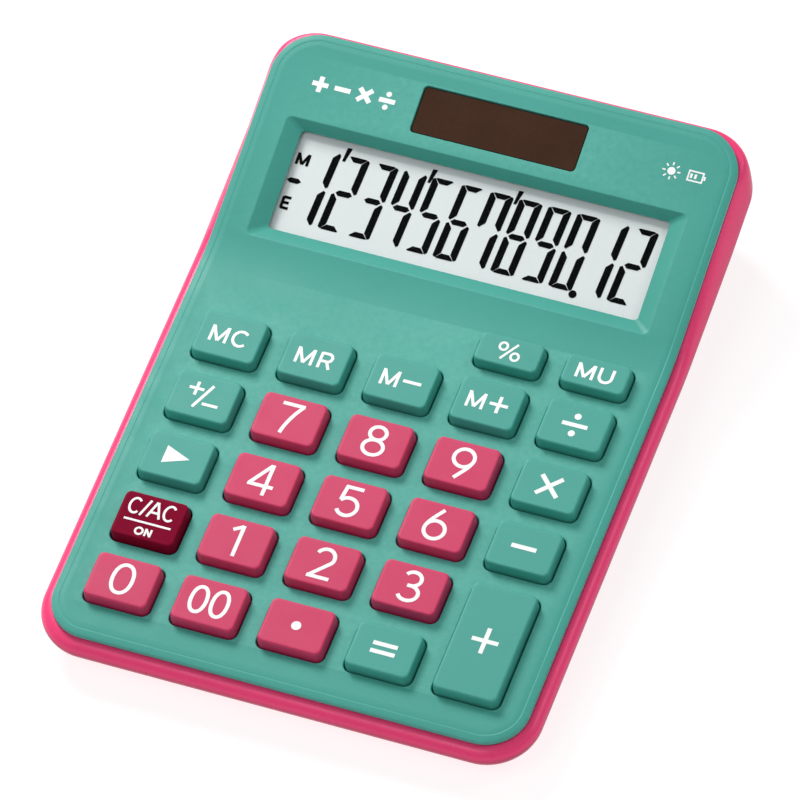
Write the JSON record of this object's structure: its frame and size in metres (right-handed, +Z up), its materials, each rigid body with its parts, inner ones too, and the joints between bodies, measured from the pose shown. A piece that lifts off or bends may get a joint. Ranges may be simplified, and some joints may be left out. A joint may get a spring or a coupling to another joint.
{
  "type": "desk calculator",
  "caption": "Solar and battery desk calculator: two-shell wedge case, tilted liquid-crystal display, sprung number and function keys, rubber feet.",
  "frame": {"origin": "centre of the footprint, on the surface that the feet stand on", "axes": "+X to the user's right, +Y away from the user, +Z up"},
  "size_m": [0.1064, 0.147, 0.0286],
  "materials": {
    "cover_teal": "fine satin moulded",
    "case_pink": "satin moulded",
    "key_teal": "satin moulded",
    "key_pink": "satin moulded",
    "key_crimson": "satin moulded",
    "screw_steel": "zinc plated",
    "foot_rubber": "matt",
    "clear_window": "clear polished",
    "display_panel": "pale grey",
    "smoked_window": "tinted polished",
    "solar_cell": "dark brown",
    "silicone": "matt translucent",
    "circuit_board": "solder mask",
    "resin_black": "cast",
    "ribbon": "film",
    "battery_metal": "nickel plated",
    "wire_red": "insulation",
    "wire_black": "insulation"
  },
  "bodies": {
    "case": {"top_cover": "cover_teal", "bottom_case": "case_pink", "battery_cover": "case_pink", "battery_cover_screw": "screw_steel", "lcd_window": "clear_window", "lcd_panel": "display_panel", "solar_window": "smoked_window", "solar_cell": "solar_cell", "key_mat": "silicone", "circuit_board": "circuit_board", "chip_resin": "resin_black", "display_ribbon": "ribbon", "battery_cell": "battery_metal", "battery_contact_negative": "battery_metal", "battery_contact_positive": "battery_metal", "solar_wire_positive": "wire_red", "solar_wire_negative": "wire_black", "battery_wire_positive": "wire_red", "battery_wire_negative": "wire_black", "case_screw_1": "screw_steel", "case_screw_2": "screw_steel", "case_screw_3": "screw_steel", "case_screw_4": "screw_steel", "case_screw_5": "screw_steel", "case_screw_6": "screw_steel", "foot_front_left": "foot_rubber", "foot_front_right": "foot_rubber", "foot_back_left": "foot_rubber", "foot_back_right": "foot_rubber"},
    "key_percent": {"key_percent": "key_teal"},
    "key_markup": {"key_markup": "key_teal"},
    "key_memory_clear": {"key_memory_clear": "key_teal"},
    "key_memory_recall": {"key_memory_recall": "key_teal"},
    "key_memory_minus": {"key_memory_minus": "key_teal"},
    "key_memory_plus": {"key_memory_plus": "key_teal"},
    "key_divide": {"key_divide": "key_teal"},
    "key_sign": {"key_sign": "key_teal"},
    "key_multiply": {"key_multiply": "key_teal"},
    "key_backspace": {"key_backspace": "key_teal"},
    "key_minus": {"key_minus": "key_teal"},
    "key_equals": {"key_equals": "key_teal"},
    "key_plus": {"key_plus": "key_teal"},
    "key_7": {"key_7": "key_pink"},
    "key_8": {"key_8": "key_pink"},
    "key_9": {"key_9": "key_pink"},
    "key_4": {"key_4": "key_pink"},
    "key_5": {"key_5": "key_pink"},
    "key_6": {"key_6": "key_pink"},
    "key_1": {"key_1": "key_pink"},
    "key_2": {"key_2": "key_pink"},
    "key_3": {"key_3": "key_pink"},
    "key_0": {"key_0": "key_pink"},
    "key_00": {"key_00": "key_pink"},
    "key_point": {"key_point": "key_pink"},
    "key_clear_on": {"key_clear_on": "key_crimson"}
  },
  "joints": [
    {"name": "key_percent_press", "type": "slide", "parent": "case", "child": "key_percent", "axis": [0, 0.0523, -0.9986], "range_m": [0, 0.0012], "stiffness_N_per_m": 400},
    {"name": "key_markup_press", "type": "slide", "parent": "case", "child": "key_markup", "axis": [0, 0.0523, -0.9986], "range_m": [0, 0.0012], "stiffness_N_per_m": 400},
    {"name": "key_memory_clear_press", "type": "slide", "parent": "case", "child": "key_memory_clear", "axis": [0, 0.0523, -0.9986], "range_m": [0, 0.0012], "stiffness_N_per_m": 400},
    {"name": "key_memory_recall_press", "type": "slide", "parent": "case", "child": "key_memory_recall", "axis": [0, 0.0523, -0.9986], "range_m": [0, 0.0012], "stiffness_N_per_m": 400},
    {"name": "key_memory_minus_press", "type": "slide", "parent": "case", "child": "key_memory_minus", "axis": [0, 0.0523, -0.9986], "range_m": [0, 0.0012], "stiffness_N_per_m": 400},
    {"name": "key_memory_plus_press", "type": "slide", "parent": "case", "child": "key_memory_plus", "axis": [0, 0.0523, -0.9986], "range_m": [0, 0.0012], "stiffness_N_per_m": 400},
    {"name": "key_divide_press", "type": "slide", "parent": "case", "child": "key_divide", "axis": [0, 0.0523, -0.9986], "range_m": [0, 0.0012], "stiffness_N_per_m": 400},
    {"name": "key_sign_press", "type": "slide", "parent": "case", "child": "key_sign", "axis": [0, 0.0523, -0.9986], "range_m": [0, 0.0012], "stiffness_N_per_m": 400},
    {"name": "key_multiply_press", "type": "slide", "parent": "case", "child": "key_multiply", "axis": [0, 0.0523, -0.9986], "range_m": [0, 0.0012], "stiffness_N_per_m": 400},
    {"name": "key_backspace_press", "type": "slide", "parent": "case", "child": "key_backspace", "axis": [0, 0.0523, -0.9986], "range_m": [0, 0.0012], "stiffness_N_per_m": 400},
    {"name": "key_minus_press", "type": "slide", "parent": "case", "child": "key_minus", "axis": [0, 0.0523, -0.9986], "range_m": [0, 0.0012], "stiffness_N_per_m": 400},
    {"name": "key_equals_press", "type": "slide", "parent": "case", "child": "key_equals", "axis": [0, 0.0523, -0.9986], "range_m": [0, 0.0012], "stiffness_N_per_m": 400},
    {"name": "key_plus_press", "type": "slide", "parent": "case", "child": "key_plus", "axis": [0, 0.0523, -0.9986], "range_m": [0, 0.0012], "stiffness_N_per_m": 400},
    {"name": "key_7_press", "type": "slide", "parent": "case", "child": "key_7", "axis": [0, 0.0523, -0.9986], "range_m": [0, 0.0012], "stiffness_N_per_m": 400},
    {"name": "key_8_press", "type": "slide", "parent": "case", "child": "key_8", "axis": [0, 0.0523, -0.9986], "range_m": [0, 0.0012], "stiffness_N_per_m": 400},
    {"name": "key_9_press", "type": "slide", "parent": "case", "child": "key_9", "axis": [0, 0.0523, -0.9986], "range_m": [0, 0.0012], "stiffness_N_per_m": 400},
    {"name": "key_4_press", "type": "slide", "parent": "case", "child": "key_4", "axis": [0, 0.0523, -0.9986], "range_m": [0, 0.0012], "stiffness_N_per_m": 400},
    {"name": "key_5_press", "type": "slide", "parent": "case", "child": "key_5", "axis": [0, 0.0523, -0.9986], "range_m": [0, 0.0012], "stiffness_N_per_m": 400},
    {"name": "key_6_press", "type": "slide", "parent": "case", "child": "key_6", "axis": [0, 0.0523, -0.9986], "range_m": [0, 0.0012], "stiffness_N_per_m": 400},
    {"name": "key_1_press", "type": "slide", "parent": "case", "child": "key_1", "axis": [0, 0.0523, -0.9986], "range_m": [0, 0.0012], "stiffness_N_per_m": 400},
    {"name": "key_2_press", "type": "slide", "parent": "case", "child": "key_2", "axis": [0, 0.0523, -0.9986], "range_m": [0, 0.0012], "stiffness_N_per_m": 400},
    {"name": "key_3_press", "type": "slide", "parent": "case", "child": "key_3", "axis": [0, 0.0523, -0.9986], "range_m": [0, 0.0012], "stiffness_N_per_m": 400},
    {"name": "key_0_press", "type": "slide", "parent": "case", "child": "key_0", "axis": [0, 0.0523, -0.9986], "range_m": [0, 0.0012], "stiffness_N_per_m": 400},
    {"name": "key_00_press", "type": "slide", "parent": "case", "child": "key_00", "axis": [0, 0.0523, -0.9986], "range_m": [0, 0.0012], "stiffness_N_per_m": 400},
    {"name": "key_point_press", "type": "slide", "parent": "case", "child": "key_point", "axis": [0, 0.0523, -0.9986], "range_m": [0, 0.0012], "stiffness_N_per_m": 400},
    {"name": "key_clear_on_press", "type": "slide", "parent": "case", "child": "key_clear_on", "axis": [0, 0.0523, -0.9986], "range_m": [0, 0.0012], "stiffness_N_per_m": 400}
  ]
}
